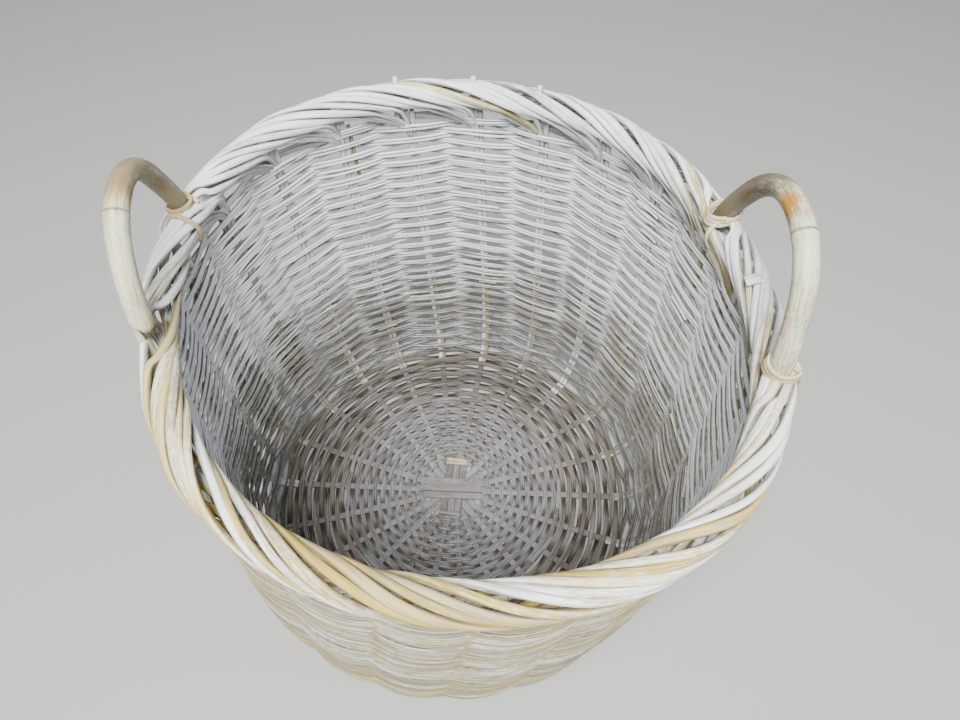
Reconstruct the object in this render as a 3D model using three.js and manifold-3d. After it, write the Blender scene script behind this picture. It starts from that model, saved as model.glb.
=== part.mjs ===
// Woven cane laundry basket with two pole handles, millimetres, +Z up.
// The origin is the middle of the floor's underside, on the surface that the basket stands on.
// +X points to the right handle, and -X to the left one.

import * as THREE from 'three';
import Module from 'manifold-3d';

const wasm = await Module();
wasm.setup();

const DEG = Math.PI / 180;

// Upright stakes: flat bundles of canes, one for each of the base's spoke ends.
const STAKE_COUNT = 22;
const STAKE_PITCH = 2 * Math.PI / STAKE_COUNT;
const FIRST_SPOKE_ANGLE = -2.5 * DEG;
const STAKE_TWIST = 7 * DEG;           // how far a stake drifts round between floor and border
const STAKE_HALF_WIDTH = 6;
const STAKE_HALF_THICKNESS = 3;

// Wall: a barrel that is widest near the foot, leans a little and loses its roundness upwards,
// where the handles pull it in.
const BELLY_RADIUS = 299;
const BELLY_HEIGHT = 130;
const FOOT_RADIUS = 262;
const RIM_RADIUS = 283;
const RIM_LEVEL = 500;
const LEAN_X = 21;                     // shift of the wall's axis at RIM_LEVEL
const LEAN_Y = -5;
const OVALITY = 0.046;
const OVAL_ANGLE = 122 * DEG;
const SQUARENESS = 0.0136;
const CORNER_ANGLE = -40 * DEG;
const OUT_OF_ROUND_POWER = 1.5;        // above 1, so the lower wall stays round

// Wall courses: wavy rings of weave that pass behind and in front of every other stake.
const COURSE_COUNT = 10;
const COURSE_BOTTOM = 15;
const COURSE_TOP = 480;
const COURSE_POWER = 1.2;              // above 1, so the courses are lower where the wall curves
const COURSE_GAP = 0.7;
const COURSE_HALF_THICKNESS = 2.5;
const COURSE_SWING = 6.7;
const COURSE_FLAT = 2.2 * DEG;         // half the arc on which a course runs straight over a stake

// Border: each stake leans inwards, then rolls over the wall's top and down its outer side.
const BORDER_HEIGHT = 515;
const BORDER_OUTSET = 2;               // of the roll's centre line from the wall's middle surface
const BORDER_RADIUS = 15.3;            // to the middle of a strand's thickness
const STRAND_HALF_THICKNESS = 3;
const STRAND_HALF_WIDTH = 11.6;
const STRAND_START_HALF_WIDTH = 6.5;
const STRAND_WIDENING = 0.25;          // part of the roll in which a strand reaches its full width
const STRAND_DELAY = 3.5 * DEG;        // arc between a stake and the start of its strand
const STRAND_SWEEP = 38 * DEG;
const ROLL_START = -35 * DEG;          // 0 is the border's inner side, 90 degrees its top
const ROLL_END = 205 * DEG;
const ROLL_STEPS = 8;
const STAKE_TOP = 484;

// Base: flat slats in four groups that cross in the middle and fan out into spokes.
const SPOKE_LEVEL = 5.1;
const SLAT_HALF_WIDTH = 5;
const SLAT_HALF_THICKNESS = 1.5;
const SLAT_PITCH = 10.9;
const SLAT_LAYER = 3.3;
const CROSS_HALF_LENGTH = 48;
const SPOKE_START = 62;
const SPOKE_END = 250;
const SLAT_GROUPS = [
  { name: 'cross_slat_lowest', spoke: 8, slats: 3, turn: 0 },
  { name: 'cross_slat_low', spoke: 2.5, slats: 2, turn: 0 },
  { name: 'cross_slat_middle', spoke: 5, slats: 3, turn: 4 * DEG },
  { name: 'cross_slat_top', spoke: 0, slats: 3, turn: 0 },
];
const BASE_COURSE_COUNT = 5;
const BASE_COURSE_START = 66;
const BASE_COURSE_HALF_THICKNESS = 1.5;
const BASE_COURSE_SWING = 3.6;
const BASE_FLAT_MARGIN = 1;

// Stake foot: flat on the floor from the spoke's end to the foot of the wall.
const STAKE_FOOT_START = 250.6;
const STAKE_FOOT_END = 266;

// Bindings: flat cane round the middle slats on both sides of the cross.
const BINDING_DISTANCE = 42;
const BINDING_HALF_LENGTH = 3;
const BINDING_THICKNESS = 1.2;
const BINDING_GAP = 0.4;

// Handles: bent poles whose ends stand in the border.
const POLE_RADIUS = 9.8;
const POLE_SIDES = 10;
const POLE_STEPS = 26;
const POLE_FOOT_RADIUS = 8.8;          // inside the border
const POLE_FULL_LEVEL = 541;           // above it a pole has its full radius
const POLE_NODE_STEP = 10;
const POLE_NODE_SWELL = 0.7;
const ARCH_BASE = 470;                 // level where the arch's curve starts, below the pole's end
const POLE_END_LEVEL = 497;
const ARCH_POWER = 2.2;                // 2 is an ellipse, more is squarer
const FOOT_BEND_START = 532;           // between these levels a leg bends into the border's middle
const FOOT_BEND_END = 575;
const HANDLES = [
  {
    side: 'right', rise: 151.5, lean: 10.8, skew: -0.04,
    front: { angle: -22.2 * DEG, offset: -6, footShift: 2.2 },
    back: { angle: 18.7 * DEG, offset: 6, footShift: -4.9 },
  },
  {
    side: 'left', rise: 147.5, lean: 0, skew: 0.09,
    front: { angle: 196 * DEG, offset: 4.4, footShift: 0 },
    back: { angle: 161.3 * DEG, offset: 11.5, footShift: -7.1 },
  },
];
const POLE_CLEARANCE = 0.5;

// Lashings: two turns of flat cane round a pole, just above the border.
const LASHING_LEVEL = 540;
const LASHING_HALF_HEIGHT = 3.5;
const LASHING_THICKNESS = 3;
const LASHING_CLEARANCE = 1;
const LASHING_SIDES = 16;

const CANE = { color: 0xd9cba6, roughness: 0.78 };
const WEAVE = { color: 0xc6c1b2, roughness: 0.82 };
const FLOOR = { color: 0x9c9384, roughness: 0.85 };
const POLE = { color: 0xb9a887, roughness: 0.6 };
const BINDER = { color: 0xe3d3a8, roughness: 0.65 };

const UP = new THREE.Vector3(0, 0, 1);

function clamp01(value) {
  return Math.min(1, Math.max(0, value));
}

function wallRadius(z) {
  if (z < BELLY_HEIGHT) {
    const down = (BELLY_HEIGHT - z) / BELLY_HEIGHT;
    return BELLY_RADIUS - (BELLY_RADIUS - FOOT_RADIUS) * down ** 3;
  }
  const up = (z - BELLY_HEIGHT) / (RIM_LEVEL - BELLY_HEIGHT);
  return BELLY_RADIUS - (BELLY_RADIUS - RIM_RADIUS) * up ** 2;
}

// A point of the wall's middle surface, or off it by a distance outwards.
function wallPoint(angle, z, outwards = 0) {
  const outOfRound = clamp01(z / RIM_LEVEL) ** OUT_OF_ROUND_POWER
    * (OVALITY * Math.cos(2 * (angle - OVAL_ANGLE)) + SQUARENESS * Math.cos(4 * (angle - CORNER_ANGLE)));
  const radius = wallRadius(z) * (1 + outOfRound) + outwards;
  const x = LEAN_X * z / RIM_LEVEL + radius * Math.cos(angle);
  const y = LEAN_Y * z / RIM_LEVEL + radius * Math.sin(angle);
  return new THREE.Vector3(x, y, z);
}

function spokeAngle(index) {
  return FIRST_SPOKE_ANGLE + index * STAKE_PITCH;
}

function stakeAngle(index, z) {
  return spokeAngle(index) + STAKE_TWIST * z / RIM_LEVEL;
}

function radial(angle) {
  return new THREE.Vector3(Math.cos(angle), Math.sin(angle), 0);
}

// A closed body through equal sections, each a ring of points: the first half of a section runs
// along one face and the second half comes back along the other.
function sweep(sections, closed) {
  const size = sections[0].length;
  const positions = sections.flat().flatMap((point) => point.toArray());
  const index = [];
  const last = closed ? sections.length : sections.length - 1;
  for (let i = 0; i < last; i += 1) {
    const here = i * size;
    const next = ((i + 1) % sections.length) * size;
    for (let j = 0; j < size; j += 1) {
      const k = (j + 1) % size;
      index.push(here + j, here + k, next + k, here + j, next + k, next + j);
    }
  }
  if (!closed) {
    const end = (sections.length - 1) * size;
    for (let j = 0; j < size / 2 - 1; j += 1) {
      const a = j;
      const b = j + 1;
      const c = size - 2 - j;
      const d = size - 1 - j;
      index.push(a, d, c, a, c, b);
      index.push(end + a, end + b, end + c, end + a, end + c, end + d);
    }
  }
  return facingOut(positions, index);
}

// Turns every triangle round if the body would have a negative volume.
function facingOut(positions, index) {
  const corner = (i) => new THREE.Vector3().fromArray(positions, 3 * i);
  let volume = 0;
  for (let i = 0; i < index.length; i += 3) {
    volume += corner(index[i]).dot(corner(index[i + 1]).cross(corner(index[i + 2])));
  }
  const turned = volume < 0 ? index.slice().reverse() : index;
  const geometry = new THREE.BufferGeometry();
  geometry.setAttribute('position', new THREE.Float32BufferAttribute(positions, 3));
  geometry.setIndex(turned);
  return geometry;
}

// Six points of a flat bundle: three across its one face, and three back across the other.
function bundleSection(centre, across, through, halfWidth, halfThickness) {
  const at = (side, face) => centre.clone()
    .addScaledVector(across, side * halfWidth)
    .addScaledVector(through, face * halfThickness);
  return [at(-1, 1), at(0, 1), at(1, 1), at(1, -1), at(0, -1), at(-1, -1)];
}

function courseEdge(number) {
  return COURSE_BOTTOM + (COURSE_TOP - COURSE_BOTTOM) * (number / COURSE_COUNT) ** COURSE_POWER;
}

function wallCourse(number) {
  const bottom = courseEdge(number) + COURSE_GAP / 2;
  const top = courseEdge(number + 1) - COURSE_GAP / 2;
  const sections = [];
  for (let stake = 0; stake < STAKE_COUNT; stake += 1) {
    const swing = (stake + number) % 2 === 0 ? COURSE_SWING : -COURSE_SWING;
    const outer = swing + COURSE_HALF_THICKNESS;
    const inner = swing - COURSE_HALF_THICKNESS;
    for (const side of [-COURSE_FLAT, COURSE_FLAT]) {
      const low = stakeAngle(stake, bottom) + side;
      const high = stakeAngle(stake, top) + side;
      sections.push([
        wallPoint(low, bottom, outer), wallPoint(high, top, outer),
        wallPoint(high, top, inner), wallPoint(low, bottom, inner),
      ]);
    }
  }
  return sweep(sections, true);
}

// The stake's line in its own upright plane, as pairs of radius and height.
function stakeLine(index) {
  const line = [[STAKE_FOOT_START, SPOKE_LEVEL], [STAKE_FOOT_END, SPOKE_LEVEL]];
  const points = line.map(([radius, z]) => radial(spokeAngle(index)).setLength(radius).setZ(z));
  for (let edge = 0; edge <= COURSE_COUNT; edge += 1) {
    const z = courseEdge(edge);
    points.push(wallPoint(stakeAngle(index, z), z));
  }
  points.push(wallPoint(stakeAngle(index, STAKE_TOP), STAKE_TOP));
  return points;
}

function stakeSections(index) {
  const points = stakeLine(index);
  return points.map((point, i) => {
    const before = points[Math.max(0, i - 1)];
    const after = points[Math.min(points.length - 1, i + 1)];
    const towardsStart = point.clone().sub(before).normalize();
    const towardsEnd = after.clone().sub(point).normalize();
    const along = towardsStart.clone().add(towardsEnd).normalize();
    const outwards = radial(Math.atan2(point.y, point.x));
    const across = outwards.clone().cross(UP).normalize();
    const through = across.clone().cross(along).normalize();
    const mitre = i === 0 || i === points.length - 1 ? 1 : along.dot(towardsEnd);
    return bundleSection(point, across, through, STAKE_HALF_WIDTH, STAKE_HALF_THICKNESS / mitre);
  });
}

// A point on or near the border's roll: turn is the angle round the roll's own centre line.
function borderPoint(angle, turn, distance) {
  return wallPoint(angle, BORDER_HEIGHT, BORDER_OUTSET - distance * Math.cos(turn))
    .setZ(BORDER_HEIGHT + distance * Math.sin(turn));
}

function strandSlope() {
  return Math.atan2(BORDER_RADIUS * (ROLL_END - ROLL_START), RIM_RADIUS * STRAND_SWEEP);
}

function strandSection(start, part, halfWidth) {
  const angle = start + STRAND_SWEEP * part;
  const turn = ROLL_START + (ROLL_END - ROLL_START) * part;
  const slope = strandSlope();
  const at = (side, face) => borderPoint(
    angle - side * halfWidth * Math.sin(slope) / RIM_RADIUS,
    turn + side * halfWidth * Math.cos(slope) / BORDER_RADIUS,
    BORDER_RADIUS + face * STRAND_HALF_THICKNESS,
  );
  return [at(-1, 1), at(0, 1), at(1, 1), at(1, -1), at(0, -1), at(-1, -1)];
}

// The bend in which an upright stake turns inwards and round into its border strand.
function bendSections(index, strandStart) {
  const foot = wallPoint(stakeAngle(index, STAKE_TOP), STAKE_TOP);
  const head = borderPoint(strandStart, ROLL_START, BORDER_RADIUS);
  const ahead = borderPoint(strandStart + STRAND_SWEEP / ROLL_STEPS,
    ROLL_START + (ROLL_END - ROLL_START) / ROLL_STEPS, BORDER_RADIUS);
  const heading = ahead.sub(head).normalize();
  const reach = foot.distanceTo(head) / 2.4;
  const curve = new THREE.CubicBezierCurve3(
    foot, foot.clone().addScaledVector(UP, reach),
    head.clone().addScaledVector(heading, -reach), head,
  );
  const [first, , third] = strandSection(strandStart, 0, STRAND_START_HALF_WIDTH);
  const lastAcross = third.clone().sub(first).normalize();
  const firstAcross = radial(stakeAngle(index, STAKE_TOP)).cross(UP);
  return [1 / 3, 2 / 3].map((part) => {
    const along = curve.getTangent(part);
    const across = firstAcross.clone().lerp(lastAcross, part);
    across.addScaledVector(along, -across.dot(along)).normalize();
    const through = across.clone().cross(along).normalize();
    const halfWidth = THREE.MathUtils.lerp(STAKE_HALF_WIDTH, STRAND_START_HALF_WIDTH, part);
    return bundleSection(curve.getPoint(part), across, through, halfWidth, STAKE_HALF_THICKNESS);
  });
}

function stakeWithStrand(index) {
  const strandStart = stakeAngle(index, STAKE_TOP) + STRAND_DELAY;
  const sections = [...stakeSections(index), ...bendSections(index, strandStart)];
  for (let step = 0; step <= ROLL_STEPS; step += 1) {
    const part = step / ROLL_STEPS;
    const widened = clamp01(part / STRAND_WIDENING);
    const halfWidth = THREE.MathUtils.lerp(STRAND_START_HALF_WIDTH, STRAND_HALF_WIDTH, widened);
    sections.push(strandSection(strandStart, part, halfWidth));
  }
  return sweep(sections, false);
}

// A slat from one spoke end, through the cross at its own layer, to the opposite spoke end.
function crossSlat(group, layer, number) {
  const side = number - (group.slats - 1) / 2;
  const direction = spokeAngle(group.spoke) + group.turn;
  const level = SLAT_HALF_THICKNESS + layer * SLAT_LAYER;
  const near = radial(spokeAngle(group.spoke + side));
  const far = radial(spokeAngle(group.spoke + STAKE_COUNT / 2 - side));
  const sideways = radial(direction + Math.PI / 2).multiplyScalar(side * SLAT_PITCH);
  const inner = radial(direction).multiplyScalar(CROSS_HALF_LENGTH);
  const points = [
    far.clone().multiplyScalar(SPOKE_END).setZ(SPOKE_LEVEL),
    far.clone().multiplyScalar(SPOKE_START).setZ(SPOKE_LEVEL),
    sideways.clone().sub(inner).setZ(level),
    sideways.clone().add(inner).setZ(level),
    near.clone().multiplyScalar(SPOKE_START).setZ(SPOKE_LEVEL),
    near.clone().multiplyScalar(SPOKE_END).setZ(SPOKE_LEVEL),
  ];
  const sections = points.map((point, i) => {
    const before = points[Math.max(0, i - 1)];
    const after = points[Math.min(points.length - 1, i + 1)];
    const arriving = point.clone().sub(before).setZ(0).normalize();
    const leaving = after.clone().sub(point).setZ(0).normalize();
    const along = arriving.add(leaving).normalize();
    const across = along.clone().cross(UP);
    const at = (edge, face) => point.clone()
      .addScaledVector(across, edge * SLAT_HALF_WIDTH)
      .addScaledVector(UP, face * SLAT_HALF_THICKNESS);
    return [at(-1, 1), at(1, 1), at(1, -1), at(-1, -1)];
  });
  return sweep(sections, false);
}

function baseCourse(number) {
  const depth = (SPOKE_END - BASE_COURSE_START) / BASE_COURSE_COUNT;
  const inner = BASE_COURSE_START + number * depth + COURSE_GAP / 2;
  const outer = BASE_COURSE_START + (number + 1) * depth - COURSE_GAP / 2;
  const sections = [];
  for (let spoke = 0; spoke < STAKE_COUNT; spoke += 1) {
    const swing = (spoke + number) % 2 === 0 ? BASE_COURSE_SWING : -BASE_COURSE_SWING;
    const level = SPOKE_LEVEL + swing;
    for (const side of [-1, 1]) {
      const at = (radius, face) => {
        const flat = Math.asin((SLAT_HALF_WIDTH + BASE_FLAT_MARGIN) / radius);
        return radial(spokeAngle(spoke) + side * flat).multiplyScalar(radius)
          .setZ(level + face * BASE_COURSE_HALF_THICKNESS);
      };
      sections.push([at(inner, 1), at(outer, 1), at(outer, -1), at(inner, -1)]);
    }
  }
  return sweep(sections, true);
}

// A flat loop round the middle group of slats, at one end of the cross.
function slatBinding(end) {
  const layer = SLAT_GROUPS.findIndex((group) => group.name === 'cross_slat_middle');
  const group = SLAT_GROUPS[layer];
  const direction = spokeAngle(group.spoke) + group.turn;
  const level = SLAT_HALF_THICKNESS + layer * SLAT_LAYER;
  const halfGroup = (group.slats - 1) / 2 * SLAT_PITCH + SLAT_HALF_WIDTH + BINDING_GAP;
  const halfLayer = SLAT_HALF_THICKNESS + BINDING_GAP;
  const along = radial(direction);
  const across = radial(direction + Math.PI / 2);
  const middle = along.clone().multiplyScalar(end * BINDING_DISTANCE).setZ(level);
  const corners = [[-1, -1], [1, -1], [1, 1], [-1, 1]];
  const sections = corners.map(([x, z]) => {
    const at = (edge, skin) => middle.clone()
      .addScaledVector(along, edge * BINDING_HALF_LENGTH)
      .addScaledVector(across, x * (halfGroup + skin))
      .addScaledVector(UP, z * (halfLayer + skin));
    return [at(-1, BINDING_THICKNESS), at(1, BINDING_THICKNESS), at(1, 0), at(-1, 0)];
  });
  return sweep(sections, true);
}

// The planar curve of a handle: part runs from 0 at the front leg's tip to 1 at the back one's.
function handlePath(handle) {
  const legBase = (leg) => wallPoint(leg.angle, RIM_LEVEL, leg.offset).setZ(ARCH_BASE);
  const front = legBase(handle.front);
  const back = legBase(handle.back);
  const middle = front.clone().add(back).multiplyScalar(0.5);
  const half = back.clone().sub(front).multiplyScalar(0.5);
  const away = middle.clone().setZ(0).normalize();
  const crown = UP.clone().multiplyScalar(handle.rise)
    .addScaledVector(away, handle.lean)
    .addScaledVector(half, handle.skew);
  const tip = (POLE_END_LEVEL - ARCH_BASE) / handle.rise;
  const tipAngle = Math.asin(tip ** (ARCH_POWER / 2));
  return (part) => {
    const angle = tipAngle + (Math.PI - 2 * tipAngle) * part;
    const across = -Math.sign(Math.cos(angle)) * Math.abs(Math.cos(angle)) ** (2 / ARCH_POWER);
    const up = Math.sin(angle) ** (2 / ARCH_POWER);
    const point = middle.clone().addScaledVector(half, across).addScaledVector(crown, up);
    const leg = part < 0.5 ? handle.front : handle.back;
    const bent = 1 - THREE.MathUtils.smoothstep(point.z, FOOT_BEND_START, FOOT_BEND_END);
    return point.addScaledVector(radial(leg.angle), leg.footShift * bent);
  };
}

function handleFrame(path, part) {
  const step = 0.01;
  const along = path(Math.min(1, part + step)).sub(path(Math.max(0, part - step))).normalize();
  const chord = path(1).sub(path(0));
  const across = chord.cross(path(0.5).sub(path(0))).normalize();
  const through = across.clone().cross(along).normalize();
  return { centre: path(part), across, through };
}

function roundSection(frame, radius, sides) {
  return Array.from({ length: sides }, (_, side) => {
    const angle = (side + 0.5) * 2 * Math.PI / sides;
    return frame.centre.clone()
      .addScaledVector(frame.across, radius * Math.cos(angle))
      .addScaledVector(frame.through, radius * Math.sin(angle));
  });
}

function pole(handle, extra = 0) {
  const path = handlePath(handle);
  const sections = [];
  for (let step = 0; step <= POLE_STEPS; step += 1) {
    const part = step / POLE_STEPS;
    const frame = handleFrame(path, part);
    const full = THREE.MathUtils.smoothstep(frame.centre.z, BORDER_HEIGHT, POLE_FULL_LEVEL);
    const swell = step === POLE_NODE_STEP ? POLE_NODE_SWELL : 0;
    const radius = THREE.MathUtils.lerp(POLE_FOOT_RADIUS, POLE_RADIUS, full) + swell;
    sections.push(roundSection(frame, radius + extra, POLE_SIDES));
  }
  return sweep(sections, false);
}

function lashing(handle, end) {
  const path = handlePath(handle);
  let part = 0;
  while (path(part).z < LASHING_LEVEL) {
    part += 0.002;
  }
  const frame = handleFrame(path, end === 'front' ? part : 1 - part);
  const along = frame.across.clone().cross(frame.through);
  const inner = POLE_RADIUS + LASHING_CLEARANCE;
  const sections = Array.from({ length: LASHING_SIDES }, (_, side) => {
    const angle = side * 2 * Math.PI / LASHING_SIDES;
    const outwards = frame.across.clone().multiplyScalar(Math.cos(angle))
      .addScaledVector(frame.through, Math.sin(angle));
    const at = (distance, height) => frame.centre.clone()
      .addScaledVector(outwards, distance)
      .addScaledVector(along, height);
    const outer = inner + LASHING_THICKNESS;
    return [
      at(outer, -LASHING_HALF_HEIGHT), at(outer, LASHING_HALF_HEIGHT),
      at(inner, LASHING_HALF_HEIGHT), at(inner, -LASHING_HALF_HEIGHT),
    ];
  });
  return sweep(sections, true);
}

function toSolid(geometry) {
  return new wasm.Manifold(new wasm.Mesh({
    numProp: 3,
    vertProperties: geometry.getAttribute('position').array,
    triVerts: new Uint32Array(geometry.getIndex().array),
  }));
}

function toGeometry(solid) {
  const mesh = solid.getMesh();
  const geometry = new THREE.BufferGeometry();
  geometry.setAttribute('position', new THREE.BufferAttribute(mesh.vertProperties, 3));
  geometry.setIndex(new THREE.BufferAttribute(mesh.triVerts, 1));
  return geometry;
}

function touches(a, b) {
  a.computeBoundingBox();
  b.computeBoundingBox();
  return a.boundingBox.intersectsBox(b.boundingBox);
}

// Opens the border strand where a pole stands in it.
function openedFor(geometry, tools) {
  const near = tools.filter((tool) => touches(geometry, tool));
  if (near.length === 0) {
    return geometry;
  }
  const solid = near.reduce((rest, tool) => rest.subtract(toSolid(tool)), toSolid(geometry));
  return toGeometry(solid);
}

const basket = new THREE.Group();

function addPiece(name, geometry, finish) {
  const mesh = new THREE.Mesh(geometry, new THREE.MeshStandardMaterial({ ...finish, metalness: 0 }));
  mesh.name = name;
  basket.add(mesh);
}

function numbered(name, number) {
  return `${name}_${String(number + 1).padStart(2, '0')}`;
}

function addBase() {
  SLAT_GROUPS.forEach((group, layer) => {
    for (let number = 0; number < group.slats; number += 1) {
      addPiece(`${group.name}_${number + 1}`, crossSlat(group, layer, number), FLOOR);
    }
  });
  for (let number = 0; number < BASE_COURSE_COUNT; number += 1) {
    addPiece(`base_course_${number + 1}`, baseCourse(number), FLOOR);
  }
  addPiece('slat_binding_back', slatBinding(1), BINDER);
  addPiece('slat_binding_front', slatBinding(-1), BINDER);
}

function addWall() {
  for (let number = 0; number < COURSE_COUNT; number += 1) {
    addPiece(numbered('wall_course', number), wallCourse(number), WEAVE);
  }
  const poles = HANDLES.map((handle) => pole(handle, POLE_CLEARANCE));
  for (let index = 0; index < STAKE_COUNT; index += 1) {
    addPiece(numbered('stake', index), openedFor(stakeWithStrand(index), poles), CANE);
  }
}

function addHandles() {
  for (const handle of HANDLES) {
    addPiece(`handle_${handle.side}`, pole(handle), POLE);
    addPiece(`lashing_${handle.side}_back`, lashing(handle, 'back'), BINDER);
  }
  addPiece('lashing_right_front', lashing(HANDLES[0], 'front'), BINDER);
}

addBase();
addWall();
addHandles();

export default basket;
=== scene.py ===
"""Woven cane laundry basket with two pole handles, built cane by cane on the CAD's frame.

Shapes are worked out in millimetres in the CAD's own axes and turned into metres when a mesh is made.
The front is the side near the camera, at -y. Every piece has its own seed, so each run gives the same basket.
"""

import math

import bpy
import numpy as np
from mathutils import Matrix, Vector


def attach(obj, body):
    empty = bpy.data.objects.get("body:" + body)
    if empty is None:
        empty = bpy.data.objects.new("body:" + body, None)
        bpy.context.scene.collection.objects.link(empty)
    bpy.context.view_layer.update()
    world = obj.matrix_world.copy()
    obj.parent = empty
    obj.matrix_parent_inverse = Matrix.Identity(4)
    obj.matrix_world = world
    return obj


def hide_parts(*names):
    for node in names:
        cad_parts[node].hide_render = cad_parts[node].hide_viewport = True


MM = 0.001
UP = np.array([0, 0, 1.0])
ANY_PHASE = (0, 6.28)
SPLINE_STEPS = 24

# Seeds of the random numbers. Bindings, handles and lashings have theirs in their tables below.
SEED = 26
DRIFT_SEED = SEED + 5
WALL_SEED = 100
STAKE_SEED = 200
SLAT_SEED = 300
ROUND_SEED = 400

# Every cane: the painted shade along its edges, and its rounded cut ends as shares of its own size.
EDGE_SHADE_SHARPNESS = 9
END_LENGTH = 0.35
END_WIDTH = 0.82
END_THICKNESS = 0.72

# Wall, the same surface as the CAD's.
STAKE_COUNT = 22
STAKE_PITCH = 2 * math.pi / STAKE_COUNT
FIRST_SPOKE_ANGLE = math.radians(-2.5)
STAKE_TWIST = math.radians(7)
BELLY_RADIUS = 299
BELLY_HEIGHT = 130
FOOT_RADIUS = 262
RIM_RADIUS = 283
RIM_LEVEL = 500
LEAN = np.array([21.0, -5.0, 0.0])
OVALITY = 0.046
OVAL_ANGLE = math.radians(122)
SQUARENESS = 0.0136
CORNER_ANGLE = math.radians(-40)
OUT_OF_ROUND_POWER = 1.5
COURSE_COUNT = 10
COURSE_BOTTOM = 15
COURSE_TOP = 480
COURSE_POWER = 1.2

# Weave of the wall: rows of two or three canes that pass in front of and behind every other stake.
ROW_COUNT = 51
FIRST_ROW = 7.2
LAST_ROW = 483
LOWEST_CANE = 2.5
ROW_LOOSE_LEVEL = 300
ROW_LOOSE_SPREAD = 45
ROW_LOOSENESS = 0.22
ROW_SAMPLES = 14
ROW_SWING = 4.9
SWING_POINT = -0.02
CANE_RADIUS = 2.25
CANE_FLATNESS = 0.76
CANE_SIZES = (0.84, 1.1)
CANE_SPACING = 2.02
CANE_SWELL = 0.06
THIRD_CANE_CHANCE = 0.22
THIRD_CANE_SIZE = 0.8
CUT_END_CHANCE = 0.7
FIRST_CUT_ROW = 4

# How far rows and canes stray, and the numbers of waves that this makes round the basket.
ROW_WANDER = (0.65, (3, 5, 8, 11, 15, 19))
CANE_WANDER = (0.7, (4, 7, 10, 16, 21, 27))
DEPTH_WANDER = (0.3, (5, 9, 14))
DRIFT_WAVES = (1, 2, 3, 5, 7, 11, 13)
DRIFT_SLOPE = 1 / 60

# Uprights: pairs of canes that start level at the spokes' ends, and short canes pushed in near the top.
STAKE_CANE_RADIUS = 3.3
STAKE_CANE_FLATNESS = 0.78
STAKE_TOP = 484
SPOKE_LEVEL = 5.1
STAKE_FOOT_RADII = (246.0, 256.0, 263.0)
STAKE_FOOT_LEVELS = (9.0, 15, 24, 40)
STAKE_LEVELS = (70, STAKE_TOP + 12, 16)
INSERT_CHANCE = 0.6
INSERT_BOTTOMS = (380, 430)
INSERT_RADII = (2.2, 3.0)

# Border: strands that come up from the stakes, roll over the wall and end in the roll's core.
BORDER_HEIGHT = 515
BORDER_OUTSET = 2
BORDER_RADIUS = 14.0
CORE_RADII = (5.5, 7.5)
STRANDS_PER_STAKE = 3
STRAND_HALF_WIDTH = 4.2
STRAND_HALF_THICKNESS = 3.0
STRAND_SIZES = (0.72, 1.14)
STRAND_DELAY = math.radians(3.5)
STRAND_SWEEP = math.radians(40)
STRAND_SAMPLES = 60
STRAND_STEP = 0.8
STRAND_WANDER = 0.6
TAIL_SWEEP = math.radians(15)
TAIL_TURN = math.radians(140)
TAIL_SAMPLES = 19
ROLL_START = math.radians(-35)
ROLL_END = math.radians(205)
STUB_STAKES = (4, 5, 6)
WRAPPED_STAKE = 0
WRAP = {"start": 48, "end": 84, "distance": 20.6}
WRAP_SHIFT = math.radians(-7)
WRAP_TURNS = 3
WRAP_PITCH = 3.6

# The border's strands part round the poles: how deep, how wide and how smoothly.
PARTING_DEPTHS = (-24, -12)
PARTING_EDGES = (1, 7)
PARTING_REACH = 30
PARTING_SPREAD = 5
PARTING_BLUR = 17

# Floor: slats in four groups (name, spoke, number of slats, turn), which cross and fan out as spokes.
SLAT_HALF_THICKNESS = 1.5
SLAT_LAYER = 3.3
SLAT_PITCH = 10.9
SLAT_HALF_WIDTH = 5
CROSS_SLAT_HALF_WIDTH = 5.3
SPOKE_HALF_WIDTH = 4.7
CROSS_HALF_LENGTH = 43
SPOKE_START = 57
SPOKE_END = 252
SLAT_GROUPS = [
    ("cross_slat_lowest", 8, 3, 0.0),
    ("cross_slat_low", 2.5, 2, 0.0),
    ("cross_slat_middle", 5, 3, math.radians(4)),
    ("cross_slat_top", 0, 3, 0.0),
]
MIDDLE_LAYER = 2
TOP_LAYER = 3
TOP_SLAT_PLACES = (-11.0, 0.4, 11.6)
TOP_SLAT_HALF_WIDTHS = (5.4, 5.2, 6.4)
BINDINGS = {
    "back": {"seed": 504, "place": 46.5, "warmth": 0.8},
    "front": {"seed": 505, "place": -43.0, "warmth": 0.0},
}

# Rounds of the floor's weave, close in the middle and loose towards the wall.
ROUND_START = 49
ROUND_LOOSE_START = 166
ROUND_END = 266
ROUND_SAMPLES = 14
ROUND_SWING = 3.1
ROUND_SHARPNESS = 1.2
ROUND_HALF_THICKNESS = 1.1
ROUND_PAIR_SPACING = 0.43
ROUND_WAVES = (3, 5, 8, 11, 13)
ROUND_CANE_WAVES = (4, 9, 14, 17, 23)
CLOSE_ROUND = {"pitch": 6.8, "half_width": 0.228, "wander": 0.45, "cane_wander": 0.28}
LOOSE_ROUND = {"pitch": 8.1, "half_width": 0.245, "wander": 1.5, "cane_wander": 0.6}
WIDE_CANE_CHANCE = 0.3
WIDE_CANE_HALF_WIDTH = 0.45
BASE_COURSE_START = 66
BASE_COURSE_END = 250
BASE_COURSE_COUNT = 5

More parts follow.
